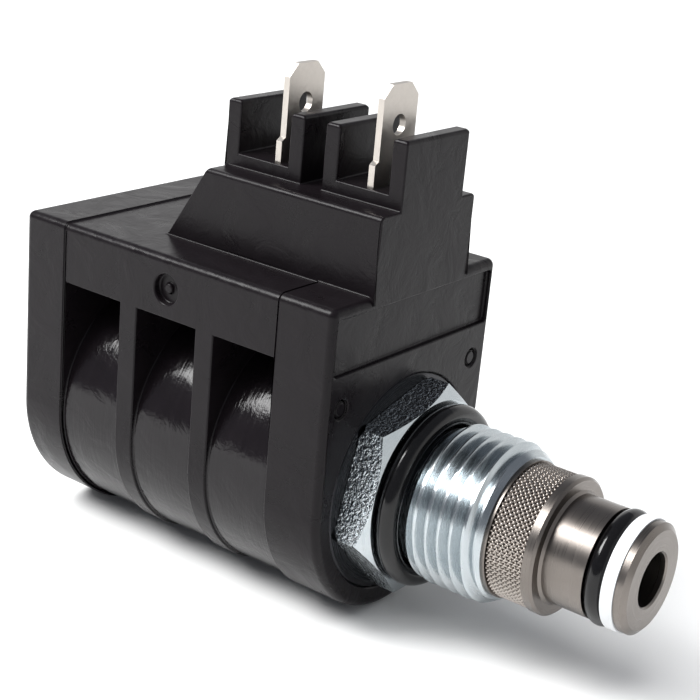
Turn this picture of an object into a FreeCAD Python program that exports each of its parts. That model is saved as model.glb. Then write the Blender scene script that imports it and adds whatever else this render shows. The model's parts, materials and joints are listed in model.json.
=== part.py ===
import FreeCAD, Part
import math
import os

# Two-way, normally closed solenoid cartridge valve, size 08, with its coil.
# The part's X axis is the valve's own axis and points from the hexagon to the nose.
# Z points towards the two blade terminals. All sizes are in millimetres.
# The origin is on the axis, in the plane where the hexagon seats on a manifold.

Vector = FreeCAD.Vector
ORIGIN = Vector(0, 0, 0)
AXIS = Vector(1, 0, 0)

# ---- port thread and hexagon --------------------------------------------------
THREAD_RADIUS = 9.525          # 3/4-16 UNF, 19.05 mm across the crests
THREAD_PITCH = 1.5875
THREAD_DEPTH = 0.97
THREAD_MOUTH = 0.40            # half the groove at the crest, as a share of the pitch
THREAD_ROOT = 0.09             # half the groove at the root, as a share of the pitch
THREAD_LIFT = 0.2              # how far the thread cutter stands out of the crests
THREAD_START = 3.5
THREAD_FULL_END = 11.0
BODY_END = 12.7
BODY_END_RADIUS = 8.4
RELIEF_RADIUS = 8.5            # undercut that carries the boss seal
HEX_ACROSS_FLATS = 22.225      # 7/8 inch spanner
HEX_LENGTH = 4.0
HEX_TURN = 14.5                # degrees from a corner on the Y axis
HEX_BACK_CHAMFER = 0.5
BOSS_SEAL_SECTION = 2.5
BODY_BACK = -HEX_LENGTH

# ---- cage, nose and filter ----------------------------------------------------
CAGE_BACK = 5.0
CAGE_FIT_RADIUS = 7.0
CAGE_CORE_RADIUS = 6.5
CAGE_BORE_RADIUS = 4.75
SCREEN_BACK = 13.1
SCREEN_FRONT = 17.7
SCREEN_RADIUS = 7.95
SCREEN_THICKNESS = 0.35
CAGE_FLANGE_FRONT = 18.95
NOSE_RADIUS = 6.35             # 12.7 mm nose
GROOVE_BACK = 24.1
GROOVE_FRONT = 27.9
GROOVE_RADIUS = 4.5
NOSE_SEAL_SECTION = 2.15
NOSE_END = 29.2
NOSE_FACE_RADIUS = 5.66
PORT_RADIUS = 3.1
SEAT_X = 19.4
SIDE_PORTS = 6
SIDE_PORT_RADIUS = 1.6
SIDE_PORT_X = 15.4

# ---- guide tube and moving parts ----------------------------------------------
TUBE_RADIUS = 6.35             # half-inch guide tube
TUBE_BORE_RADIUS = 5.55
TUBE_FRONT = 2.0
TUBE_BACK = -50.4
POLE_FRONT = -27.0
SHIM_THICKNESS = 0.2
STROKE = 2.0                   # armature travel when the coil is energised
ARMATURE_RADIUS = 5.5
ARMATURE_FRONT = 0.5
ARMATURE_BACK = POLE_FRONT + SHIM_THICKNESS + STROKE + 0.05
SPRING_BORE_RADIUS = 2.7
SPRING_BORE_END = -13.0
PIN_RADIUS = 1.2
PILOT_SEAT_X = 8.5
PASSAGE_RADIUS = 2.2
POPPET_RADIUS = 4.72
POPPET_BACK = 6.7
POPPET_POCKET_END = 10.0
POPPET_POCKET_RADIUS = 3.6
POPPET_SKIRT_FRONT = 13.6
POPPET_NECK_RADIUS = 3.5
POPPET_TIP_RADIUS = 1.9
POPPET_TIP = SEAT_X + 1.2
PILOT_RADIUS = 0.7
BLEED_RADIUS = 0.4
BLEED_X = 12.2
POPPET_SPRING_RADIUS = 2.95
POPPET_SPRING_WIRE = 0.45
POPPET_SPRING_TURNS = 3
ARMATURE_SPRING_RADIUS = 2.05
ARMATURE_SPRING_WIRE = 0.6
ARMATURE_SPRING_TURNS = 9

# ---- coil ---------------------------------------------------------------------
COIL_FRONT = BODY_BACK
COIL_LENGTH = 47.6
COIL_BACK = COIL_FRONT - COIL_LENGTH
COIL_WIDTH = 31.6
COIL_TOP = 24.4
STEP = 0.15                    # end blocks stand this proud of the middle
BORE_RADIUS = 6.45
DRUM_RADIUS = 15.3             # round overmould seen inside the pockets
POCKET_WIDTH = 9.2
POCKET_PITCH = 11.95
POCKET_FIRST = -44.7
POCKET_TOP = 16.9
POCKET_COUNT = 3
WEB_HALF = 5.0
FRONT_BLOCK_BACK = COIL_FRONT - 7.7
REAR_BLOCK_FRONT = POCKET_FIRST - 0.15
EDGE_ROUND = 0.9
SPOOL_RADIUS = 7.3
SPOOL_FRONT = -9.6
SPOOL_BACK = -47.2
WINDING_RADIUS = 12.4
TAPE_RADIUS = 12.7
SPOOL_FLANGE = 1.3

# ---- flux frame ---------------------------------------------------------------
FRAME_THICKNESS = 2.6
FRAME_HALF_WIDTH = 10.5
FRAME_TOP = 20.6
FRAME_LEG_RADIUS = 13.4        # legs are rounded at the bottom about the axis

# ---- terminal tower -----------------------------------------------------------
TOWER_LEFT = -8.9
TOWER_RIGHT = 9.2
TOWER_SHELF = 33.5
TOWER_SHELF_BACK = -29.1
TOWER_FOOT_BACK = -34.7
SHROUD_LEFT = -5.45
SHROUD_RIGHT = 6.6
SHROUD_TOP = 41.3
SHROUD_FLOOR = 35.1
WALL = 2.0
SHROUD_SPANS = ((-29.4, -18.1), (-15.1, COIL_FRONT))
BLADE_CENTRES = (("rear", -22.1), ("front", -8.9))
BLADE_THICKNESS = 0.8          # 6.35 x 0.8 mm push-on tab
BLADE_WIDTH = 6.35
BLADE_FOOT_WIDTH = 7.6
BLADE_Y = -0.95
BLADE_BOTTOM = 27.0
BLADE_SHOULDER = 37.6
BLADE_TIP = 46.3
BLADE_CHAMFER = 1.45
BLADE_HOLE_Z = 41.75
BLADE_HOLE_RADIUS = 1.2
LEAD_RADIUS = 0.35
LEAD_BOTTOM = WINDING_RADIUS + 0.02
LEAD_BEND_LOW = 23.5           # the front lead leans forward between these heights
LEAD_BEND_HIGH = 25.0
LEAD_STARTS = {"rear": -22.1, "front": -12.6}
LEAD_HOLE_RADIUS = 1.8

# ---- marks on the overmould ---------------------------------------------------
PANEL_DEPTH = 0.6
PANEL_HALF_WIDTH = 14.9
PANEL_BOTTOM = 16.6
PANEL_TOP = 23.1
MARKS = ((12.6, 12.4), (-13.1, 12.6))
MARK_RADIUS = 1.2
GATE_X = -28.3
GATE_Z = 20.4
GATE_RADIUS = 1.8
GATE_DEPTH = 0.9

# ---- retaining nut and seals --------------------------------------------------
STUD_RADIUS = 4.0
STUD_END = -55.6
NUT_FRONT = COIL_BACK - 0.1
NUT_BACK = -56.2
NUT_ACROSS_FLATS = 17.0
NUT_FLANGE_RADIUS = 9.4
COIL_SEAL_SECTION = 1.1
COIL_SEAL_RADIUS = 7.2
COIL_SEAL_RECESS = 8.2
WASHER_RADIUS = 13.3


def turned(outline):
    """Solid of revolution about X from (x, radius) corners."""
    points = [Vector(x, r, 0) for x, r in outline]
    face = Part.Face(Part.makePolygon(points + points[:1]))
    return face.revolve(ORIGIN, AXIS, 360)


def rod(x_low, x_high, radius):
    """Round bar along X."""
    return Part.makeCylinder(radius, x_high - x_low, Vector(x_low, 0, 0), AXIS)


def sleeve(x_low, x_high, outer, inner):
    """Plain tube along X."""
    return rod(x_low, x_high, outer).cut(rod(x_low - 1, x_high + 1, inner))


def block(x_low, x_high, y_low, y_high, z_low, z_high):
    """Rectangular block between two corners."""
    size = (x_high - x_low, y_high - y_low, z_high - z_low)
    return Part.makeBox(*size, Vector(x_low, y_low, z_low))


def seal_ring(x_middle, radius, section):
    """O-ring about X, radius to the middle of its section."""
    return Part.makeTorus(radius, section / 2, Vector(x_middle, 0, 0), AXIS)


def hexagon(x_low, x_high, across_flats, turn):
    """Hexagonal prism along X, its first corner turned from the Y axis."""
    corner = across_flats / 2 / math.cos(math.pi / 6)
    angles = [math.radians(turn + 60 * i) for i in range(6)]
    points = [Vector(x_low, corner * math.cos(a), corner * math.sin(a)) for a in angles]
    face = Part.Face(Part.makePolygon(points + points[:1]))
    return face.extrude(Vector(x_high - x_low, 0, 0))


def helix_along_x(x_start, length, pitch, radius):
    """Helical path about X."""
    path = Part.makeLongHelix(pitch, length, radius)
    path.rotate(ORIGIN, Vector(0, 1, 0), 90)
    path.translate(Vector(x_start, 0, 0))
    return path


def wire_spring(x_low, x_high, radius, wire, turns):
    """Compression spring of round wire, its outside ends at x_low and x_high."""
    length = x_high - x_low - wire
    path = helix_along_x(x_low + wire / 2, length, length / turns, radius)
    start = path.Edges[0].valueAt(path.Edges[0].FirstParameter)
    tangent = path.Edges[0].tangentAt(path.Edges[0].FirstParameter)
    section = Part.Wire(Part.makeCircle(wire / 2, start, tangent))
    return Part.Wire(path.Edges).makePipeShell([section], True, True)


def thread_groove():
    """V-shaped helical cutter for the port thread."""
    start = THREAD_START - 1.5 * THREAD_PITCH
    length = BODY_END - start + 0.6 * THREAD_PITCH
    root = THREAD_RADIUS - THREAD_DEPTH
    path = helix_along_x(start, length, THREAD_PITCH, root)
    point = path.Edges[0].valueAt(path.Edges[0].FirstParameter)
    outward = Vector(0, point.y, point.z).normalize()
    lift = THREAD_DEPTH + THREAD_LIFT
    half_mouth = THREAD_PITCH * THREAD_MOUTH * lift / THREAD_DEPTH
    half_root = THREAD_PITCH * THREAD_ROOT
    corners = [(-half_root, 0), (half_root, 0), (half_mouth, lift), (-half_mouth, lift)]
    points = [point + AXIS * along + outward * out for along, out in corners]
    profile = Part.makePolygon(points + points[:1])
    return Part.Wire(path.Edges).makePipeShell([profile], True, True)


def valve_body():
    """Zinc-plated adapter: spanner hexagon, seal relief and port thread."""
    corner = HEX_ACROSS_FLATS / 2 / math.cos(math.pi / 6)
    chamfer = (corner - HEX_ACROSS_FLATS / 2) * math.tan(math.radians(30))
    hex_part = turned([(BODY_BACK, 0), (BODY_BACK, corner - HEX_BACK_CHAMFER),
                       (BODY_BACK + HEX_BACK_CHAMFER, corner), (-chamfer, corner),
                       (0, HEX_ACROSS_FLATS / 2), (0, 0)])
    hex_part = hex_part.common(hexagon(BODY_BACK, 0, HEX_ACROSS_FLATS, HEX_TURN))
    shank = turned([(0, 0), (0, RELIEF_RADIUS), (THREAD_START - 0.7, RELIEF_RADIUS),
                    (THREAD_START + 0.3, THREAD_RADIUS), (THREAD_FULL_END, THREAD_RADIUS),
                    (BODY_END, BODY_END_RADIUS), (BODY_END, 0)])
    threaded = shank.cut(thread_groove())
    solid = hex_part.fuse(threaded)
    bores = rod(BODY_BACK - 1, TUBE_FRONT, TUBE_RADIUS)
    bores = bores.fuse([rod(TUBE_FRONT - 1, CAGE_BACK + 1, PASSAGE_RADIUS),
                        rod(CAGE_BACK, BODY_END + 1, CAGE_FIT_RADIUS)])
    return solid.cut(bores)


def cage():
    """Turned steel cage: seat, side ports, filter seat, seal groove and nose."""
    outline = [(CAGE_BACK, 0), (CAGE_BACK, CAGE_FIT_RADIUS), (BODY_END, CAGE_FIT_RADIUS),
               (BODY_END, SCREEN_RADIUS - SCREEN_THICKNESS),
               (SCREEN_BACK + 0.5, SCREEN_RADIUS - SCREEN_THICKNESS),
               (SCREEN_BACK + 0.5, CAGE_CORE_RADIUS),
               (SCREEN_FRONT - 0.5, CAGE_CORE_RADIUS),
               (SCREEN_FRONT - 0.5, SCREEN_RADIUS - SCREEN_THICKNESS),
               (SCREEN_FRONT, SCREEN_RADIUS - SCREEN_THICKNESS),
               (SCREEN_FRONT, SCREEN_RADIUS + 0.1),
               (CAGE_FLANGE_FRONT - 0.3, SCREEN_RADIUS + 0.1),
               (CAGE_FLANGE_FRONT, SCREEN_RADIUS - 0.2),
               (CAGE_FLANGE_FRONT, NOSE_RADIUS + 0.3),
               (CAGE_FLANGE_FRONT + 0.3, NOSE_RADIUS),
               (GROOVE_BACK, NOSE_RADIUS), (GROOVE_BACK, GROOVE_RADIUS),
               (GROOVE_FRONT, GROOVE_RADIUS), (GROOVE_FRONT, NOSE_RADIUS),
               (NOSE_END - 0.5, NOSE_RADIUS), (NOSE_END, NOSE_FACE_RADIUS), (NOSE_END, 0)]
    bore = turned([(CAGE_BACK - 1, 0), (CAGE_BACK - 1, CAGE_BORE_RADIUS),
                   (SEAT_X - 1.2, CAGE_BORE_RADIUS), (SEAT_X, PORT_RADIUS + 0.1),
                   (SEAT_X, PORT_RADIUS), (NOSE_END - 0.2, PORT_RADIUS),
                   (NOSE_END + 0.05, PORT_RADIUS + 0.25), (NOSE_END + 0.05, 0)])
    solid = turned(outline).cut(bore)
    for i in range(SIDE_PORTS):
        angle = math.radians(360 / SIDE_PORTS * i)
        direction = Vector(0, math.cos(angle), math.sin(angle))
        start = Vector(SIDE_PORT_X, 0, 0)
        solid = solid.cut(Part.makeCylinder(SIDE_PORT_RADIUS, SCREEN_RADIUS, start, direction))
    return solid


def filter_screen():
    """Fine woven sleeve over the side ports, as a thin tube."""
    inner = SCREEN_RADIUS - SCREEN_THICKNESS
    return sleeve(SCREEN_BACK, SCREEN_FRONT, SCREEN_RADIUS, inner)


def screen_ring():
    """Spot-welded end ring that holds the back edge of the screen."""
    inner = SCREEN_RADIUS - SCREEN_THICKNESS
    return sleeve(BODY_END, SCREEN_BACK, SCREEN_RADIUS + 0.15, inner)


def main_poppet():
    """Main poppet with pilot seat, spring pocket, pilot drilling and bleed hole."""
    solid = turned([(POPPET_BACK, 0), (POPPET_BACK, POPPET_RADIUS),
                    (POPPET_SKIRT_FRONT, POPPET_RADIUS),
                    (POPPET_SKIRT_FRONT, POPPET_NECK_RADIUS),
                    (SEAT_X - 0.5, POPPET_NECK_RADIUS), (POPPET_TIP, POPPET_TIP_RADIUS),
                    (POPPET_TIP, 0)])
    pocket = turned([(POPPET_BACK - 1, 0), (POPPET_BACK - 1, POPPET_POCKET_RADIUS),
                     (POPPET_POCKET_END, POPPET_POCKET_RADIUS), (POPPET_POCKET_END, 1.6),
                     (PILOT_SEAT_X, 1.3), (PILOT_SEAT_X, 0)])
    pilot = rod(PILOT_SEAT_X - 1, POPPET_TIP + 1, PILOT_RADIUS)
    bleed = Part.makeCylinder(BLEED_RADIUS, 4, Vector(BLEED_X, 0, 0), Vector(0, 0, 1))
    slot_start = Vector(BLEED_X, 0, POPPET_RADIUS - BLEED_RADIUS + 0.08)
    bleed_slot = Part.makeCylinder(BLEED_RADIUS, 5, slot_start, AXIS)
    return solid.cut([pocket, pilot, bleed, bleed_slot])


def guide_tube():
    """Stainless guide tube that the armature slides in."""
    return sleeve(TUBE_BACK, TUBE_FRONT, TUBE_RADIUS, TUBE_BORE_RADIUS)


def pole_piece():
    """Fixed pole that closes the tube, with the stud for the retaining nut."""
    return turned([(STUD_END, 0), (STUD_END, STUD_RADIUS - 0.5),
                   (STUD_END + 0.5, STUD_RADIUS), (TUBE_BACK - 0.8, STUD_RADIUS),
                   (TUBE_BACK - 0.8, TUBE_RADIUS - 0.3), (TUBE_BACK, TUBE_RADIUS),
                   (TUBE_BACK, TUBE_BORE_RADIUS), (POLE_FRONT, TUBE_BORE_RADIUS),
                   (POLE_FRONT, 0)])


def pole_shim():
    """Brass disc that keeps the armature from sticking to the pole."""
    return sleeve(POLE_FRONT, POLE_FRONT + SHIM_THICKNESS, 5.4, SPRING_BORE_RADIUS)


def armature():
    """Soft-iron plunger with its spring bore and two oil grooves."""
    solid = turned([(ARMATURE_BACK, SPRING_BORE_RADIUS), (ARMATURE_BACK, ARMATURE_RADIUS - 0.4),
                    (ARMATURE_BACK + 0.4, ARMATURE_RADIUS),
                    (ARMATURE_FRONT - 0.4, ARMATURE_RADIUS),
                    (ARMATURE_FRONT, ARMATURE_RADIUS - 0.4), (ARMATURE_FRONT, PIN_RADIUS),
                    (ARMATURE_FRONT - 5, PIN_RADIUS), (ARMATURE_FRONT - 5, 0),
                    (SPRING_BORE_END, 0), (SPRING_BORE_END, SPRING_BORE_RADIUS)])
    for side in (-1, 1):
        centre_z = side * (ARMATURE_RADIUS + 0.2)
        groove = Part.makeCylinder(1.0, 30, Vector(ARMATURE_BACK - 2, 0, centre_z), AXIS)
        solid = solid.cut(groove)
    return solid


def pilot_pin():
    """Hardened pin pressed into the armature, its cone closes the pilot seat."""
    return turned([(ARMATURE_FRONT - 5, 0), (ARMATURE_FRONT - 5, PIN_RADIUS),
                   (PILOT_SEAT_X - 1.1, PIN_RADIUS), (PILOT_SEAT_X - 0.05, 0.45),
                   (PILOT_SEAT_X - 0.05, 0)])


def armature_spring():
    """Return spring between the pole and the armature."""
    return wire_spring(POLE_FRONT + 0.05, SPRING_BORE_END - 0.05, ARMATURE_SPRING_RADIUS,
                       ARMATURE_SPRING_WIRE, ARMATURE_SPRING_TURNS)


def poppet_spring():
    """Light spring that holds the main poppet on its seat."""
    return wire_spring(CAGE_BACK + 0.05, POPPET_POCKET_END - 0.05, POPPET_SPRING_RADIUS,
                       POPPET_SPRING_WIRE, POPPET_SPRING_TURNS)


def retaining_nut():
    """Low flanged hexagon nut that clamps the coil."""
    hex_corner = NUT_ACROSS_FLATS / 2 / math.cos(math.pi / 6)
    crown = turned([(NUT_BACK, 0), (NUT_BACK, hex_corner - 0.9), (NUT_BACK + 0.6, hex_corner),
                    (NUT_FRONT - 1.0, hex_corner), (NUT_FRONT - 1.0, 0)])
    crown = crown.common(hexagon(NUT_BACK, NUT_FRONT - 1.0, NUT_ACROSS_FLATS, 0))
    flange = turned([(NUT_FRONT - 1.2, 0), (NUT_FRONT - 1.2, NUT_FLANGE_RADIUS - 0.2),
                     (NUT_FRONT - 0.9, NUT_FLANGE_RADIUS), (NUT_FRONT, NUT_FLANGE_RADIUS),
                     (NUT_FRONT, 0)])
    bore = turned([(NUT_BACK - 1, 0), (NUT_BACK - 1, STUD_RADIUS + 0.45),
                   (NUT_BACK + 0.4, STUD_RADIUS + 0.05), (NUT_FRONT + 1, STUD_RADIUS + 0.05),
                   (NUT_FRONT + 1, 0)])
    return crown.fuse(flange).cut(bore)


def u_section(half_width, top, x_low, x_high):
    """Block with a flat top, flat sides and a round bottom about the axis."""
    left_top = Vector(x_low, -half_width, top)
    right_top = Vector(x_low, half_width, top)
    left = Vector(x_low, -half_width, 0)
    right = Vector(x_low, half_width, 0)
    bottom = Vector(x_low, 0, -half_width)
    edges = [Part.makeLine(left_top, left), Part.Arc(left, bottom, right).toShape(),
             Part.makeLine(right, right_top), Part.makeLine(right_top, left_top)]
    return Part.Face(Part.Wire(edges)).extrude(Vector(x_high - x_low, 0, 0))


def edges_where(shape, test):
    """Edges whose centre and direction pass a test."""
    return [edge for edge in shape.Edges if test(edge.CenterOfMass, edge)]


def along_x(edge):
    """True for a straight edge parallel to X."""
    box = edge.BoundBox
    return box.YLength < 1e-4 and box.ZLength < 1e-4


def end_block(x_low, x_high, outer_x):
    """Proud end block, rounded on its top edges and on its outer face."""
    solid = u_section(COIL_WIDTH / 2, COIL_TOP, x_low, x_high)
    chosen = edges_where(solid, lambda c, e: abs(c.x - outer_x) < 1e-3
                         or (along_x(e) and c.z > COIL_TOP - 1))
    return solid.makeFillet(EDGE_ROUND, chosen)


def coil_casing():
    """Solid outside form of the coil without its tower."""
    middle = u_section(COIL_WIDTH / 2 - STEP, COIL_TOP - STEP, REAR_BLOCK_FRONT - 1,
                       FRONT_BLOCK_BACK + 1)
    chosen = edges_where(middle, lambda c, e: along_x(e) and c.z > COIL_TOP - 1)
    middle = middle.makeFillet(EDGE_ROUND, chosen)
    for i in range(POCKET_COUNT):
        x_low = POCKET_FIRST + i * POCKET_PITCH
        for side in (-1, 1):
            y_low, y_high = sorted((side * WEB_HALF, side * COIL_WIDTH))
            cutter = block(x_low, x_low + POCKET_WIDTH, y_low, y_high, -COIL_WIDTH, POCKET_TOP)
            middle = middle.cut(cutter)
        low_cutter = block(x_low, x_low + POCKET_WIDTH, -WEB_HALF - 1, WEB_HALF + 1,
                           -COIL_WIDTH, 0)
        middle = middle.cut(low_cutter)
    drum = rod(REAR_BLOCK_FRONT - 1, FRONT_BLOCK_BACK + 1, DRUM_RADIUS)
    front = end_block(FRONT_BLOCK_BACK, COIL_FRONT, COIL_FRONT)
    rear = end_block(COIL_BACK, REAR_BLOCK_FRONT, COIL_BACK)
    return middle.fuse([drum, front, rear])


def tower():
    """Terminal tower: sloped pedestal and two pairs of guard walls."""
    corners = [(COIL_FRONT, COIL_TOP - 2), (COIL_FRONT, TOWER_SHELF),
               (TOWER_SHELF_BACK, TOWER_SHELF), (TOWER_FOOT_BACK, COIL_TOP),
               (TOWER_FOOT_BACK, COIL_TOP - 2)]
    points = [Vector(x, TOWER_LEFT, z) for x, z in corners]
    face = Part.Face(Part.makePolygon(points + points[:1]))
    pedestal = face.extrude(Vector(0, TOWER_RIGHT - TOWER_LEFT, 0))
    chosen = edges_where(pedestal, lambda c, e: c.z > TOWER_SHELF - 0.01
                         and c.x < COIL_FRONT - 1)
    pedestal = pedestal.makeFillet(0.6, chosen)
    pieces = []
    for x_low, x_high in SHROUD_SPANS:
        pieces.append(block(x_low + 0.1, x_high - 0.1, SHROUD_LEFT, SHROUD_RIGHT,
                            TOWER_SHELF - 1, SHROUD_FLOOR))
        for wall_low in (x_low, x_high - WALL):
            wall = block(wall_low, wall_low + WALL, SHROUD_LEFT, SHROUD_RIGHT,
                         TOWER_SHELF - 1, SHROUD_TOP)
            top_edges = edges_where(wall, lambda c, e: c.z > SHROUD_TOP - 0.01)
            pieces.append(wall.makeFillet(0.45, top_edges))
    return pedestal.fuse(pieces)


def front_marks():
    """Shallow panel and two round mould marks cut into the front face."""
    panel = block(COIL_FRONT - PANEL_DEPTH, COIL_FRONT + 1, -PANEL_HALF_WIDTH,
                  PANEL_HALF_WIDTH, PANEL_BOTTOM, PANEL_TOP)
    corners = edges_where(panel, lambda c, e: e.BoundBox.XLength > 1)
    cutters = [panel.makeFillet(0.5, corners)]
    for y, z in MARKS:
        mark = Part.makeCylinder(MARK_RADIUS, 1.5, Vector(COIL_FRONT - 0.35, y, z), AXIS)
        boss = Part.makeCylinder(MARK_RADIUS - 0.35, 0.3, Vector(COIL_FRONT - 0.4, y, z), AXIS)
        cutters.append(mark.cut(boss))
    return cutters


def gate_recess():
    """Small round recess with the trimmed mould gate, on the left side."""
    side = -COIL_WIDTH / 2 + STEP
    centre = Vector(GATE_X, side + GATE_DEPTH, GATE_Z)
    recess = Part.makeCylinder(GATE_RADIUS, 3, centre, Vector(0, -1, 0))
    nub = Part.makeCylinder(0.6, 0.5, centre, Vector(0, -1, 0))
    return recess.cut(nub)


def coil_housing():
    """Glass-filled nylon overmould: casing, tower and everything cut for what it holds."""
    solid = coil_casing().fuse(tower()).removeSplitter()
    solid = solid.cut(front_marks() + [gate_recess()])
    cavity = [rod(COIL_BACK - 1, COIL_FRONT + 1, BORE_RADIUS),
              rod(SPOOL_BACK, SPOOL_FRONT, TAPE_RADIUS),
              rod(SPOOL_FRONT + FRAME_THICKNESS, COIL_FRONT + 1, WASHER_RADIUS),
              rod(COIL_BACK - 1, COIL_BACK + 1.3, COIL_SEAL_RECESS)]
    inner = [flux_frame()]
    for name, x in BLADE_CENTRES:
        inner.append(terminal_blade(x))
        inner.append(lead_wire(LEAD_STARTS[name], x))
    return solid.cut(cavity + inner)


def coil_bobbin():
    """Moulded spool that the winding sits on."""
    spool = sleeve(SPOOL_BACK, SPOOL_FRONT, SPOOL_RADIUS, BORE_RADIUS)
    flanges = [sleeve(SPOOL_BACK, SPOOL_BACK + SPOOL_FLANGE, TAPE_RADIUS, SPOOL_RADIUS - 0.1),
               sleeve(SPOOL_FRONT - SPOOL_FLANGE, SPOOL_FRONT, TAPE_RADIUS, SPOOL_RADIUS - 0.1)]
    return spool.fuse(flanges)


def coil_winding():
    """Enamelled copper winding, as one solid ring."""
    return sleeve(SPOOL_BACK + SPOOL_FLANGE, SPOOL_FRONT - SPOOL_FLANGE, WINDING_RADIUS,
                  SPOOL_RADIUS)


def winding_tape():
    """Tape wrapped over the winding, with two holes for the leads."""
    solid = sleeve(SPOOL_BACK + SPOOL_FLANGE, SPOOL_FRONT - SPOOL_FLANGE, TAPE_RADIUS,
                   WINDING_RADIUS)
    return solid.cut([lead_wire(LEAD_STARTS[name], x) for name, x in BLADE_CENTRES])


def flux_frame():
    """Bent steel frame that carries the field round the outside of the winding."""
    y_low, y_high = -FRAME_HALF_WIDTH, FRAME_HALF_WIDTH
    front_x = SPOOL_FRONT + 0.1
    back_x = SPOOL_BACK - 0.1
    strap = block(back_x - FRAME_THICKNESS, front_x + FRAME_THICKNESS, y_low, y_high,
                  FRAME_TOP - FRAME_THICKNESS, FRAME_TOP)
    legs = []
    for x_low in (front_x, back_x - FRAME_THICKNESS):
        plate = block(x_low, x_low + FRAME_THICKNESS, y_low, y_high, -COIL_WIDTH, FRAME_TOP)
        round_end = u_section(FRAME_LEG_RADIUS, FRAME_TOP, x_low, x_low + FRAME_THICKNESS)
        legs.append(plate.common(round_end))
    holes = [rod(COIL_BACK, COIL_FRONT, BORE_RADIUS)]
    for x in LEAD_STARTS.values():
        holes.append(Part.makeCylinder(LEAD_HOLE_RADIUS, 10, Vector(x, BLADE_Y, FRAME_TOP - 5)))
    solid = strap.fuse(legs).removeSplitter()
    bends = edges_where(solid, lambda c, e: c.z > FRAME_TOP - 0.01
                        and abs(abs(c.x - (front_x + back_x) / 2)
                                - (front_x - back_x) / 2 - FRAME_THICKNESS) < 0.01)
    return solid.makeFillet(2.0, bends).cut(holes)


def flux_washer():
    """Dark steel washer in the front face, from the frame to the hexagon."""
    back = SPOOL_FRONT + 0.1 + FRAME_THICKNESS
    front = COIL_FRONT - 0.05
    disc = turned([(back, BORE_RADIUS), (back, WASHER_RADIUS), (front - 0.2, WASHER_RADIUS),
                   (front, WASHER_RADIUS - 0.2), (front, BORE_RADIUS)])
    return disc.cut(rod(front - 1.3, front + 1, COIL_SEAL_RECESS))


def terminal_blade(x):
    """Push-on tab with a chamfered tip, a detent hole and a wider foot."""
    half = BLADE_WIDTH / 2
    foot = BLADE_FOOT_WIDTH / 2
    corners = [(-foot, BLADE_BOTTOM), (-foot, BLADE_SHOULDER), (-half, BLADE_SHOULDER + 0.4),
               (-half, BLADE_TIP - BLADE_CHAMFER), (-half + BLADE_CHAMFER, BLADE_TIP)]
    right = [(-y, z) for y, z in reversed(corners)]
    x_low = x - BLADE_THICKNESS / 2
    points = [Vector(x_low, BLADE_Y + y, z) for y, z in corners + right]
    face = Part.Face(Part.makePolygon(points + points[:1]))
    solid = face.extrude(Vector(BLADE_THICKNESS, 0, 0))
    hole = Part.makeCylinder(BLADE_HOLE_RADIUS, 4, Vector(x - 2, BLADE_Y, BLADE_HOLE_Z), AXIS)
    return solid.cut(hole)


def lead_wire(x_start, x_end):
    """Lead from the winding up to the foot of one blade."""
    if x_start == x_end:
        length = BLADE_BOTTOM - LEAD_BOTTOM
        return Part.makeCylinder(LEAD_RADIUS, length, Vector(x_start, BLADE_Y, LEAD_BOTTOM))
    corners = [(x_start, LEAD_BOTTOM), (x_start, LEAD_BEND_LOW), (x_end, LEAD_BEND_HIGH),
               (x_end, BLADE_BOTTOM)]
    points = [Vector(x, BLADE_Y, z) for x, z in corners]
    pieces = [Part.makeSphere(LEAD_RADIUS, bend) for bend in points[1:3]]
    for low, high in zip(points, points[1:]):
        run = high - low
        pieces.append(Part.makeCylinder(LEAD_RADIUS, run.Length, low, run))
    return pieces[0].fuse(pieces[1:])


def build():
    """Every node of the part, by name."""
    nodes = {
        "valve_body": valve_body(),
        "cage": cage(),
        "filter_screen": filter_screen(),
        "screen_ring": screen_ring(),
        "main_poppet": main_poppet(),
        "poppet_spring": poppet_spring(),
        "guide_tube": guide_tube(),
        "pole_piece": pole_piece(),
        "pole_shim": pole_shim(),
        "armature": armature(),
        "armature_spring": armature_spring(),
        "pilot_pin": pilot_pin(),
        "retaining_nut": retaining_nut(),
        "coil_housing": coil_housing(),
        "coil_bobbin": coil_bobbin(),
        "coil_winding": coil_winding(),
        "winding_tape": winding_tape(),
        "flux_frame": flux_frame(),
        "flux_washer": flux_washer(),
        "coil_front_seal": seal_ring(COIL_FRONT - 0.7, COIL_SEAL_RADIUS, COIL_SEAL_SECTION),
        "coil_rear_seal": seal_ring(COIL_BACK + 0.65, COIL_SEAL_RADIUS, COIL_SEAL_SECTION),
        "boss_o_ring": seal_ring(BOSS_SEAL_SECTION / 2 + 0.02,
                                 RELIEF_RADIUS + BOSS_SEAL_SECTION / 2, BOSS_SEAL_SECTION),
        "nose_o_ring": seal_ring(GROOVE_BACK + NOSE_SEAL_SECTION / 2 + 0.05,
                                 GROOVE_RADIUS + NOSE_SEAL_SECTION / 2, NOSE_SEAL_SECTION),
        "nose_backup_ring": sleeve(GROOVE_FRONT - 1.5, GROOVE_FRONT - 0.05, 6.5, GROOVE_RADIUS),
    }
    for name, x in BLADE_CENTRES:
        nodes["terminal_blade_" + name] = terminal_blade(x)
        nodes["lead_wire_" + name] = lead_wire(LEAD_STARTS[name], x)
    return nodes


def main():
    os.makedirs("parts", exist_ok=True)
    for name, shape in build().items():
        solids = shape.Solids
        print(name, "solids", len(solids), "valid", shape.isValid(), round(shape.Volume, 1))
        shape.exportStep("parts/" + name + ".step")


main()
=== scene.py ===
# %% [markdown]
# # A solenoid cartridge valve
# The part is a steel screw-in valve with a moulded coil on its back. The frame already holds every
# machined and moulded piece at its true size. This lesson gives each piece its finish, softens the
# moulding's edges, weaves the filter out of wire and sets up the studio.

# %% Load the frame
import json
import math

import bpy
from mathutils import Matrix, Quaternion, Vector

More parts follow.
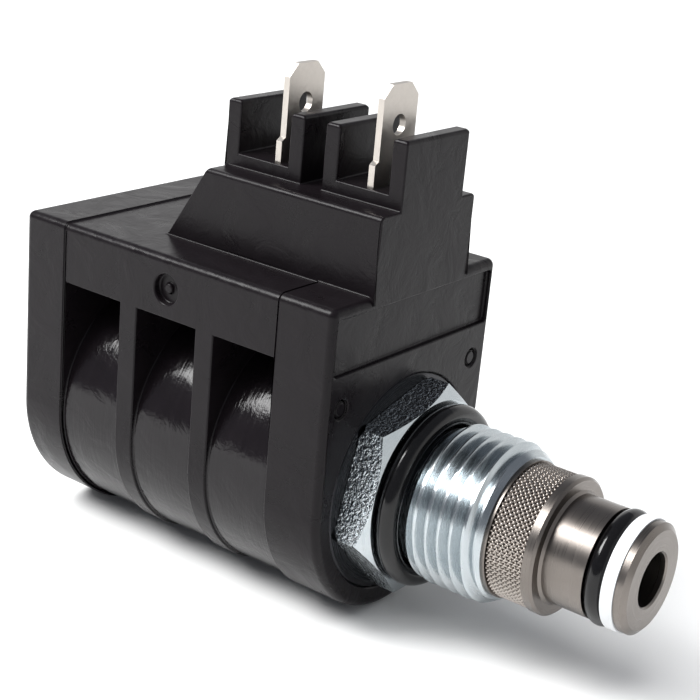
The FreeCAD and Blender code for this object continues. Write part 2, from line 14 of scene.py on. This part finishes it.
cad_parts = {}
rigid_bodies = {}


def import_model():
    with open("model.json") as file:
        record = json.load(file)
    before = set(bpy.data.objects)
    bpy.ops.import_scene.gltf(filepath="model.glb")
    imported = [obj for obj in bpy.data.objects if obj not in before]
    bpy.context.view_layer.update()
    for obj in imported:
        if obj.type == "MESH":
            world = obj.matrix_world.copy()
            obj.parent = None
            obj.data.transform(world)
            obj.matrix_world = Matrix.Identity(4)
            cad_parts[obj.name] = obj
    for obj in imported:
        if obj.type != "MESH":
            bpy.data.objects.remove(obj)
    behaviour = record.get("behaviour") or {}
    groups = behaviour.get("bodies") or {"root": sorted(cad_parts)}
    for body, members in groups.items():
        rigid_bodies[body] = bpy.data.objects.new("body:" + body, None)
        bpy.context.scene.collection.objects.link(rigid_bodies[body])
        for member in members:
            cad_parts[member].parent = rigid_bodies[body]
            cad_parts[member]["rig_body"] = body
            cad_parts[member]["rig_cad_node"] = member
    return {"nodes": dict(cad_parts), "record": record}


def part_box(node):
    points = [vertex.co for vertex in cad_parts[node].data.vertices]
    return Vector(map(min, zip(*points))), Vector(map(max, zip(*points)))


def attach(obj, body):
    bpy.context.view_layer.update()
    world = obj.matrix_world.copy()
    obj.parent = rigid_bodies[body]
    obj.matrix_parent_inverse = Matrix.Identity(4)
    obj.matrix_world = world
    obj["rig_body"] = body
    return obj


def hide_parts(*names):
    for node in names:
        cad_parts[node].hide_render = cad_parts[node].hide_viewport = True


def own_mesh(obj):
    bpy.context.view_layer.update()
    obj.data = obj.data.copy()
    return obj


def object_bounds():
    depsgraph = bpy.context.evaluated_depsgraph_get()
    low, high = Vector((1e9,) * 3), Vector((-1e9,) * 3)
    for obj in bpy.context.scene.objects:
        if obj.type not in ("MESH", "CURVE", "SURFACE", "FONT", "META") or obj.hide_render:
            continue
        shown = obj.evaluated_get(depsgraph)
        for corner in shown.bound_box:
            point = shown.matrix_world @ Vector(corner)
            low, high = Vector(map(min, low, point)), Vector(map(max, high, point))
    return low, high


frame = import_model()
nodes = frame["nodes"]
cad_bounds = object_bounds()
MM = 0.001
print("loaded", len(nodes), "nodes, size in mm:",
      [round(v / MM, 1) for v in cad_bounds[1] - cad_bounds[0]])

# %% [markdown]
# ## Camera
# A long lens from about 190 mm away keeps the perspective gentle.
# The camera looks past the nose and a little down, and is rolled a few degrees.

# %% Camera
TARGET = Vector((-14.7, 2.4, 12.7)) * MM
AZIMUTH = math.radians(35.62)
ELEVATION = math.radians(20.12)
ROLL = math.radians(5.32)
DISTANCE = 190 * MM
LENS = 81.67                       # these two are in the camera's own millimetres
SENSOR_WIDTH = 36.0

forward = Vector((-math.sin(AZIMUTH) * math.cos(ELEVATION),
                  math.cos(AZIMUTH) * math.cos(ELEVATION),
                  -math.sin(ELEVATION)))
bpy.ops.object.camera_add(location=TARGET - forward * DISTANCE)
camera = bpy.context.object
camera.name = "studio_camera"
camera.rotation_mode = "QUATERNION"
camera.rotation_quaternion = forward.to_track_quat("-Z", "Y") @ Quaternion((0, 0, 1), ROLL)
camera.data.lens = LENS
camera.data.sensor_width = SENSOR_WIDTH
camera.data.clip_start = 5 * MM
bpy.context.scene.camera = camera
print("camera at", [round(v / MM) for v in camera.location], "mm")

# %% [markdown]
# ## Small helpers
# Colours are written as sRGB hex, as on a paint chart, and turned to linear light once, here.
# One function adds a shader node, sets it and links it.

# %% Helpers for colours and nodes


def linear(hex_colour):
    """sRGB hex text to a linear RGBA tuple."""
    values = [int(hex_colour[i:i + 2], 16) / 255 for i in (1, 3, 5)]
    return tuple(v / 12.92 if v <= 0.04045 else ((v + 0.055) / 1.055) ** 2.4
                 for v in values) + (1.0,)


def add(tree, kind, inputs=None, **settings):
    """Adds a node, applies its settings, and links or sets each named input."""
    made = tree.nodes.new("ShaderNode" + kind)
    for name, value in settings.items():
        setattr(made, name, value)
    for name, value in (inputs or {}).items():
        if isinstance(value, bpy.types.NodeSocket):
            tree.links.new(value, made.inputs[name])
        else:
            made.inputs[name].default_value = value
    return made


def new_material(name, colour, metallic, roughness, ior=None):
    """Starts a material and returns it with its node tree and shader."""
    material = bpy.data.materials.new(name)
    material.use_nodes = True
    tree = material.node_tree
    shader = tree.nodes["Principled BSDF"]
    shader.inputs["Base Color"].default_value = linear(colour)
    shader.inputs["Metallic"].default_value = metallic
    shader.inputs["Roughness"].default_value = roughness
    if ior:
        shader.inputs["IOR"].default_value = ior
    return material, tree, shader


# %% [markdown]
# ## Studio
# A pale floor, a white backdrop low behind the part and a grey room everywhere else. Bright metal
# shows what is round it, so the grey of the room gives the thread and the nose their bands.
# One large soft box stands high on the left, and a wide sun with no reflection evens the floor.

# %% Floor and backdrop
FLOOR_DROP = 0.1 * MM
FLOOR_SIZE = 8.0
PAPER_GRAIN = 1.11 * MM            # real paper is finer than would show

bpy.ops.mesh.primitive_grid_add(x_subdivisions=4, y_subdivisions=4, size=FLOOR_SIZE,
                                location=(0, 0, cad_bounds[0].z - FLOOR_DROP))
floor = bpy.context.object
floor.name = "pale_floor"
paper, paper_tree, paper_shader = new_material("matt_white_paper", "#f4f4f3", 0.0, 0.9)
paper_coords = add(paper_tree, "TexCoord")
paper_noise = add(paper_tree, "TexNoise", {"Vector": paper_coords.outputs["Object"],
                                           "Scale": 1 / PAPER_GRAIN, "Detail": 2.0})
paper_bump = add(paper_tree, "Bump", {"Height": paper_noise.outputs["Fac"], "Strength": 0.05,
                                      "Distance": 0.05 * MM})
paper_tree.links.new(paper_bump.outputs["Normal"], paper_shader.inputs["Normal"])
floor.data.materials.append(paper)
print("floor at z", round(floor.location.z / MM, 1), "mm")

# %% Room
BACKDROP_EDGE = (-0.45, 0.15)      # the direction's Y where the white starts and is full
BACKDROP_TOP = (0.62, 0.34)        # the direction's Z where it starts and is full

world = bpy.data.worlds.new("studio_room")
world.use_nodes = True
bpy.context.scene.world = world
room = world.node_tree
room_light = room.nodes["Background"]
room_coords = add(room, "TexCoord")
room_axes = add(room, "SeparateXYZ", {"Vector": room_coords.outputs["Generated"]})
behind = add(room, "MapRange", {"Value": room_axes.outputs["Y"], "From Min": BACKDROP_EDGE[0],
                                "From Max": BACKDROP_EDGE[1]},
             interpolation_type="SMOOTHSTEP")
low = add(room, "MapRange", {"Value": room_axes.outputs["Z"], "From Min": BACKDROP_TOP[0],
                             "From Max": BACKDROP_TOP[1]}, interpolation_type="SMOOTHSTEP")
backdrop = add(room, "Math", {0: behind.outputs["Result"], 1: low.outputs["Result"]},
               operation="MULTIPLY")
room_colour = add(room, "Mix", {"Factor": backdrop.outputs["Value"], "A": linear("#84878e"),
                                "B": linear("#ffffff")}, data_type="RGBA")
room.links.new(room_colour.outputs["Result"], room_light.inputs["Color"])
print("room:", world.name)

# %% Lights
KEY_DIRECTION = (-0.50, -0.50, 0.72)
KEY_DISTANCE = 0.55
KEY_SIZE = 0.24
KEY_WATTS = 3.2
FILL_TURN = (math.radians(20), math.radians(-10), 0)
FILL_STRENGTH = 2.6
FILL_SPREAD = math.radians(60)


def soft_box(name, direction, distance, size, power):
    """Square area light that faces the part from a direction."""
    towards = Vector(direction).normalized()
    bpy.ops.object.light_add(type="AREA", location=towards * distance)
    lamp = bpy.context.object
    lamp.name = name
    lamp.rotation_mode = "QUATERNION"
    lamp.rotation_quaternion = (-towards).to_track_quat("-Z", "Y")
    lamp.data.size = size
    lamp.data.energy = power
    return lamp


key = soft_box("key_soft_box", KEY_DIRECTION, KEY_DISTANCE, KEY_SIZE, KEY_WATTS)
bpy.ops.object.light_add(type="SUN", rotation=FILL_TURN)
fill = bpy.context.object
fill.name = "wide_fill"
fill.data.energy = FILL_STRENGTH
fill.data.angle = FILL_SPREAD
fill.visible_glossy = False
bpy.context.scene.view_settings.view_transform = "Standard"
print("lights:", key.name, fill.name)

# %% [markdown]
# ## Coordinates for turned parts
# Lathe marks run round the valve's axis, which is X. A pattern that depends on the distance along
# the axis plus the distance from it gives rings on a cylinder and on an end face alike. Where a
# finish belongs on the sides only, a mask leaves out the faces that look along the axis.

# %% Turned-part coordinates


def axis_coordinates(tree):
    """Sockets of the place, of its X, Y and Z, and of its distance from the axis."""
    coords = add(tree, "TexCoord")
    axes = add(tree, "SeparateXYZ", {"Vector": coords.outputs["Object"]})
    across = add(tree, "CombineXYZ", {"Y": axes.outputs["Y"], "Z": axes.outputs["Z"]})
    radius = add(tree, "VectorMath", {0: across.outputs["Vector"]}, operation="LENGTH")
    return coords.outputs["Object"], axes.outputs, radius.outputs["Value"]


def ring_noise(tree, axes, radius, spacing, reach):
    """Noise drawn out round the axis: lines spacing apart and reach long."""
    along = add(tree, "Math", {0: axes["X"], 1: radius}, operation="ADD")
    scaled = {}
    for axis, socket, size in (("X", along.outputs["Value"], spacing),
                               ("Y", axes["Y"], reach), ("Z", axes["Z"], reach)):
        step = add(tree, "Math", {0: socket, 1: 1 / size}, operation="MULTIPLY")
        scaled[axis] = step.outputs["Value"]
    place = add(tree, "CombineXYZ", scaled)
    rings = add(tree, "TexNoise", {"Vector": place.outputs["Vector"], "Scale": 1.0,
                                   "Detail": 3.0, "Roughness": 0.6})
    return rings.outputs["Fac"]


def sideways_mask(tree, limit):
    """1 on the sides, 0 where more of the surface's direction than limit is along the axis."""
    surface = add(tree, "NewGeometry")
    facing = add(tree, "SeparateXYZ", {"Vector": surface.outputs["Normal"]})
    tilt = add(tree, "Math", {0: facing.outputs["X"]}, operation="ABSOLUTE")
    sideways = add(tree, "Math", {0: tilt.outputs["Value"], 1: limit}, operation="LESS_THAN")
    return sideways.outputs["Value"]


# %% [markdown]
# ## Bright zinc plating
# The adapter is free-cutting steel, turned, then barrel plated with clear-passivated zinc. Zinc
# gives a slightly blue, bright but not mirror-like metal. Turned faces keep fine rings. The
# hexagon's flats are the bar's own rolled skin, so they are pebbled.

# %% Zinc plating
LATHE_SPACING = 0.14 * MM          # real feed marks are near 0.08 mm, too fine to show
LATHE_REACH = 5.0 * MM
PEBBLE = 0.42 * MM
HEX_INNER = 11.05 * MM
BEHIND_SEAT = -0.05 * MM
FLAT_TILT = 0.2
FLAT_ROUGHNESS = 0.2
ZINC_CLOUD = 3.85 * MM


def complete(tree, shader, tint, rough, bump):
    """Links a finish's colour, roughness and last bump to its shader."""
    tree.links.new(tint.outputs["Result"], shader.inputs["Base Color"])
    tree.links.new(rough.outputs["Result"], shader.inputs["Roughness"])
    tree.links.new(bump.outputs["Normal"], shader.inputs["Normal"])


def zinc_plated_steel():
    material, tree, shader = new_material("zinc_plated_steel", "#b0b8bd", 1.0, 0.2)
    place, axes, radius = axis_coordinates(tree)
    rings = ring_noise(tree, axes, radius, LATHE_SPACING, LATHE_REACH)
    clouds = add(tree, "TexNoise", {"Vector": place, "Scale": 1 / ZINC_CLOUD, "Detail": 3.0})
    pebbles = add(tree, "TexNoise", {"Vector": place, "Scale": 1 / PEBBLE, "Detail": 2.0,
                                     "Roughness": 0.55, "Distortion": 0.6})
    outside = add(tree, "Math", {0: radius, 1: HEX_INNER}, operation="GREATER_THAN")
    behind_seat = add(tree, "Math", {0: axes["X"], 1: BEHIND_SEAT}, operation="LESS_THAN")
    on_hex = add(tree, "Math", {0: outside.outputs["Value"], 1: behind_seat.outputs["Value"]},
                 operation="MULTIPLY")
    on_flat = add(tree, "Math", {0: on_hex.outputs["Value"],
                                 1: sideways_mask(tree, FLAT_TILT)}, operation="MULTIPLY")
    tint = add(tree, "Mix", {"Factor": clouds.outputs["Fac"], "A": linear("#a5aeb3"),
                             "B": linear("#c8cdcf")}, data_type="RGBA")
    turned = add(tree, "MapRange", {"Value": rings, "From Min": 0.3, "From Max": 0.7,
                                    "To Min": 0.14, "To Max": 0.32})
    rough = add(tree, "Mix", {"Factor": on_flat.outputs["Value"],
                              "A": turned.outputs["Result"], "B": FLAT_ROUGHNESS})
    ring_bump = add(tree, "Bump", {"Height": rings, "Strength": 0.35,
                                   "Distance": 0.012 * MM})
    pebble_bump = add(tree, "Bump", {"Height": pebbles.outputs["Fac"],
                                     "Strength": on_flat.outputs["Value"],
                                     "Distance": 0.3 * MM,
                                     "Normal": ring_bump.outputs["Normal"]})
    complete(tree, shader, tint, rough, pebble_bump)
    return material


# %% [markdown]
# ## Turned steels
# The cage, the poppet and the filter's end ring are hardened steel, oiled but not plated. The
# oil film and the heat treatment leave a warm grey-brown. The tube is drawn stainless, and the
# pole, armature and coil frame are soft iron. The washer in the coil's face is near black, which
# is painted shade for the shadowed groove round the hexagon. One recipe serves them all with other
# colours. Its ring spacings are wider than real feed marks, which are too fine to show.

# %% Turned steels
STEEL_REACH = 6.0 * MM
OIL_CLOUD = 5.56 * MM


def turned_steel(name, dark, light, smooth, rough_most, spacing):
    """Machined steel with fine rings, clouds of oil tint and uneven gloss."""
    material, tree, shader = new_material(name, light, 1.0, smooth)
    place, axes, radius = axis_coordinates(tree)
    rings = ring_noise(tree, axes, radius, spacing, STEEL_REACH)
    clouds = add(tree, "TexNoise", {"Vector": place, "Scale": 1 / OIL_CLOUD, "Detail": 4.0})
    tint = add(tree, "Mix", {"Factor": clouds.outputs["Fac"], "A": linear(dark),
                             "B": linear(light)}, data_type="RGBA")
    rough = add(tree, "MapRange", {"Value": rings, "From Min": 0.25, "From Max": 0.75,
                                   "To Min": smooth, "To Max": rough_most})
    bump = add(tree, "Bump", {"Height": rings, "Strength": 0.25, "Distance": 0.008 * MM})
    complete(tree, shader, tint, rough, bump)
    return material


# %% [markdown]
# ## Black glass-filled nylon
# The overmould is black nylon with short glass fibres. It has a low sheen, a very fine texture
# from the tool, and faint flow marks. The round drum inside the pockets was formed by a turned
# core, so it is glossier and keeps lines that run round the axis.

# %% Glass-filled nylon
DRUM_RADIUS = 15.3 * MM
DRUM_BAND = 0.06 * MM
DRUM_TILT = 0.5
DRUM_LINES = 0.3 * MM
DRUM_REACH = 9.0 * MM
GRAIN = 0.28 * MM                  # the tool's real texture is too fine to show
FLOW = 5.0 * MM
PLAIN_SHEEN = 0.14
DRUM_SHEEN = 0.24


def black_nylon():
    material, tree, shader = new_material("black_glass_filled_nylon", "#110e10", 0.0, 0.3, 1.53)
    place, axes, radius = axis_coordinates(tree)
    grain = add(tree, "TexNoise", {"Vector": place, "Scale": 1 / GRAIN, "Detail": 3.0})
    flow = add(tree, "TexNoise", {"Vector": place, "Scale": 1 / FLOW, "Detail": 5.0,
                                  "Roughness": 0.6, "Distortion": 0.8})
    rings = ring_noise(tree, axes, radius, DRUM_LINES, DRUM_REACH)
    at_radius = add(tree, "Math", {0: radius, 1: DRUM_RADIUS, 2: DRUM_BAND},
                    operation="COMPARE")
    on_drum = add(tree, "Math", {0: at_radius.outputs["Value"],
                                 1: sideways_mask(tree, DRUM_TILT)}, operation="MULTIPLY")
    tint = add(tree, "Mix", {"Factor": flow.outputs["Fac"], "A": linear("#0d0a0c"),
                             "B": linear("#191518")}, data_type="RGBA")
    plain = add(tree, "MapRange", {"Value": flow.outputs["Fac"], "From Min": 0.3,
                                   "From Max": 0.7, "To Min": 0.24, "To Max": 0.36})
    glossy = add(tree, "MapRange", {"Value": rings, "From Min": 0.3, "From Max": 0.7,
                                    "To Min": 0.08, "To Max": 0.2})
    rough = add(tree, "Mix", {"Factor": on_drum.outputs["Value"],
                              "A": plain.outputs["Result"], "B": glossy.outputs["Result"]})
    sheen = add(tree, "Mix", {"Factor": on_drum.outputs["Value"], "A": PLAIN_SHEEN,
                              "B": DRUM_SHEEN})
    flow_bump = add(tree, "Bump", {"Height": flow.outputs["Fac"], "Strength": 0.5,
                                   "Distance": 0.25 * MM})
    grain_bump = add(tree, "Bump", {"Height": grain.outputs["Fac"], "Strength": 0.3,
                                    "Distance": 0.02 * MM,
                                    "Normal": flow_bump.outputs["Normal"]})
    ring_bump = add(tree, "Bump", {"Height": rings, "Strength": on_drum.outputs["Value"],
                                   "Distance": 0.02 * MM,
                                   "Normal": grain_bump.outputs["Normal"]})
    tree.links.new(sheen.outputs["Result"], shader.inputs["Specular IOR Level"])
    complete(tree, shader, tint, rough, ring_bump)
    return material


# %% [markdown]
# ## Tin, rubber, fluoropolymer and the coil's insides
# The blades are brass with bright tin over it, which dulls to a soft warm grey. O-rings are
# oiled nitrile, near black with a wet shine. The backup ring is white and waxy. Inside are
# enamelled copper, polyester tape, a natural nylon spool and a disc of rolled brass.

# %% Mottled finishes


def mottled(name, dark, light, metallic, smooth, rough_most, size, depth, ior=None):
    """A finish whose colour, gloss and height vary in soft patches of one size."""
    material, tree, shader = new_material(name, light, metallic, smooth, ior)
    coords = add(tree, "TexCoord")
    patches = add(tree, "TexNoise", {"Vector": coords.outputs["Object"], "Scale": 1 / size,
                                     "Detail": 5.0, "Roughness": 0.62})
    tint = add(tree, "Mix", {"Factor": patches.outputs["Fac"], "A": linear(dark),
                             "B": linear(light)}, data_type="RGBA")
    rough = add(tree, "MapRange", {"Value": patches.outputs["Fac"], "From Min": 0.3,
                                   "From Max": 0.7, "To Min": smooth, "To Max": rough_most})
    bump = add(tree, "Bump", {"Height": patches.outputs["Fac"], "Strength": 0.3,
                              "Distance": depth})
    complete(tree, shader, tint, rough, bump)
    return material


# %% Make every finish
finishes = {
    "zinc_plated_steel": zinc_plated_steel(),
    "machined_steel": turned_steel("oiled_hardened_steel", "#6c6661", "#86807b", 0.24, 0.38,
                                   0.1 * MM),
    "stainless_mesh": turned_steel("woven_stainless_wire", "#9d958e", "#bcb4ad", 0.3, 0.42,
                                   0.2 * MM),
    "stainless_steel": turned_steel("drawn_stainless_steel", "#a9a9a8", "#c4c4c2", 0.18, 0.3,
                                    0.12 * MM),
    # The washer's near-black colour is painted shade for the shadowed groove round the hexagon.
    "dark_steel": turned_steel("painted_shade_steel", "#242426", "#38383b", 0.2, 0.34,
                               0.16 * MM),
    "soft_iron": turned_steel("machined_soft_iron", "#8a8a8b", "#a5a5a6", 0.25, 0.42,
                              0.16 * MM),
    "black_nylon": black_nylon(),
    "shim_brass": mottled("rolled_shim_brass", "#a98544", "#cfae66", 1.0, 0.2, 0.35,
                          1.5 * MM, 0.01 * MM),
    "natural_nylon": mottled("natural_nylon", "#cfc6ab", "#ddd6c0", 0.0, 0.35, 0.5,
                             1.2 * MM, 0.02 * MM, 1.53),
    "enamelled_copper": mottled("enamelled_copper_wire", "#8c3f1e", "#b8683c", 1.0, 0.18,
                                0.32, 0.8 * MM, 0.02 * MM),
    "polyester_tape": mottled("yellow_polyester_tape", "#c9a01f", "#dcb83a", 0.0, 0.22, 0.4,
                              2.0 * MM, 0.03 * MM, 1.57),
    "tinned_brass": mottled("tin_plated_brass", "#b3aca4", "#d3cdc6", 1.0, 0.3, 0.48,
                            0.9 * MM, 0.012 * MM),
    "nitrile_rubber": mottled("nitrile_rubber", "#070708", "#0f0e0f", 0.0, 0.08, 0.22,
                              0.7 * MM, 0.01 * MM, 1.42),
    "white_ptfe": mottled("white_ptfe", "#cfd1d3", "#dfe1e2", 0.0, 0.3, 0.45, 0.8 * MM,
                          0.01 * MM, 1.38),
}
slot_of = {entry["node"]: entry["material_slot"] for entry in frame["record"]["subparts"]}
for name, node in nodes.items():
    node.data.materials.clear()
    node.data.materials.append(finishes[slot_of[name]])
print("finishes given to", len(nodes), "nodes")

# %% [markdown]
# ## Softened moulding
# A moulding has no knife edges: the tool's corners leave a radius of a few tenths of a
# millimetre, and those radii catch the light as thin lines. The frame's housing is copied, its
# doubles merged and its flat faces joined up and cut into convex pieces, and a bevel modifier
# rounds each sharp edge.

# %% Helpers for pieces
MERGE_DISTANCE = 0.002 * MM
FLAT_ANGLE = math.radians(0.5)


def select_only(piece):
    """Deselects everything, then selects one object and makes it active."""
    bpy.ops.object.select_all(action="DESELECT")
    piece.select_set(True)
    bpy.context.view_layer.objects.active = piece


def copy_of(node_name, piece_name):
    """A merged copy of a frame node, free to be shaped."""
    piece = nodes[node_name].copy()
    piece.data = nodes[node_name].data.copy()
    piece.name = piece.data.name = piece_name
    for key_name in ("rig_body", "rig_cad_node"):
        del piece[key_name]
    piece.parent = None
    bpy.context.scene.collection.objects.link(piece)
    select_only(piece)
    bpy.ops.mesh.customdata_custom_splitnormals_clear()
    bpy.ops.object.mode_set(mode="EDIT")
    bpy.ops.mesh.select_all(action="SELECT")
    bpy.ops.mesh.remove_doubles(threshold=MERGE_DISTANCE)
    bpy.ops.mesh.dissolve_limited(angle_limit=FLAT_ANGLE)
    bpy.ops.mesh.vert_connect_concave()
    bpy.ops.object.mode_set(mode="OBJECT")
    return piece


def apply_all(piece):
    """Applies every modifier in order."""
    select_only(piece)
    for modifier in list(piece.modifiers):
        bpy.ops.object.modifier_apply(modifier=modifier.name)


# %% Round the housing's edges
EDGE_RADIUS = 0.22 * MM
SHARP_ANGLE = math.radians(35)

housing = copy_of("coil_housing", "coil_moulding")
bevel = housing.modifiers.new("edge_radius", "BEVEL")
bevel.width = EDGE_RADIUS
bevel.segments = 2
bevel.limit_method = "ANGLE"
bevel.angle_limit = SHARP_ANGLE
bevel.use_clamp_overlap = False
bevel.loop_slide = False
bevel.harden_normals = True
apply_all(housing)
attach(housing, "coil")
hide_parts("coil_housing")
print("housing faces:", len(housing.data.polygons))

# %% [markdown]
# ## Springs that ride on their pieces
# Each spring pushes on a moving piece with one end and on a fixed seat with the other. It is
# copied from the frame and rides on the moving piece, keeping its length.

# %% Let both springs ride on their pieces
for node_name, body, joint_name in (("armature_spring", "plunger", "armature_travel"),
                                    ("poppet_spring", "poppet", "poppet_lift")):
    spring = copy_of(node_name, "working_" + node_name)
    bpy.ops.object.shade_smooth()
    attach(spring, body)
    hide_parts(node_name)
    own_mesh(spring)

# %% [markdown]
# ## Woven filter
# Fine wire cloth is wrapped round the side ports on the bias, so its wires run at 45 degrees to
# the axis in two families. At each crossing one wire passes over and the next under. One wire is
# drawn as a curve with that wave, then copied round the axis, and mirrored for the other family.

# %% One wire of the cloth
WIRES = 76                         # in each family, for a mesh near 0.45 mm
WIRE_RADIUS = 0.16 * MM
screen_low, screen_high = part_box("filter_screen")
# Room for the wave, the wire and a little air keeps the cloth inside the frame's screen.
CLOTH_RADIUS = screen_high.y - 2.1 * WIRE_RADIUS
crossing = math.pi * CLOTH_RADIUS / WIRES
STEPS_PER_CROSSING = 3


def weave_wire(name, lead, wave):
    """One wire at 45 degrees: lead is +1 or -1, wave says if it starts over or under."""
    length = screen_high.x - screen_low.x
    count = round(length / crossing * STEPS_PER_CROSSING)
    bpy.ops.curve.primitive_nurbs_path_add()
    wire = bpy.context.object
    wire.name = name
    wire.data.splines.clear()
    spline = wire.data.splines.new("POLY")
    spline.points.add(count)
    for i, point in enumerate(spline.points):
        x = length * i / count
        lift = wave * WIRE_RADIUS * math.cos(math.pi * x / crossing)
        angle = lead * x / CLOTH_RADIUS
        radius = CLOTH_RADIUS + lift
        point.co = (screen_low.x + x, radius * math.cos(angle), radius * math.sin(angle), 1)
    wire.data.bevel_depth = WIRE_RADIUS
    wire.data.bevel_resolution = 1
    wire.data.use_fill_caps = True
    select_only(wire)
    bpy.ops.object.convert(target="MESH")
    return bpy.context.object


# %% Wrap both families round the cage
cloth_wires = []
for lead, wave in ((1, 1), (-1, -1)):
    first = weave_wire("weave_wire", lead, wave)
    for i in range(WIRES):
        wire = first.copy()
        wire.data = first.data.copy()
        wire.data.transform(Matrix.Rotation(2 * math.pi * i / WIRES, 4, "X"))
        bpy.context.scene.collection.objects.link(wire)
        cloth_wires.append(wire)
    bpy.data.objects.remove(first)
bpy.ops.object.select_all(action="DESELECT")
for wire in cloth_wires:
    wire.select_set(True)
bpy.context.view_layer.objects.active = cloth_wires[0]
bpy.ops.object.join()
cloth = bpy.context.object
cloth.name = "filter_cloth"
cloth.data.name = "filter_cloth"
bpy.ops.object.shade_smooth()
cloth.data.materials.clear()
cloth.data.materials.append(finishes["stainless_mesh"])
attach(cloth, "cartridge")
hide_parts("filter_screen")
print("filter cloth:", 2 * WIRES, "wires,", len(cloth.data.polygons), "faces")
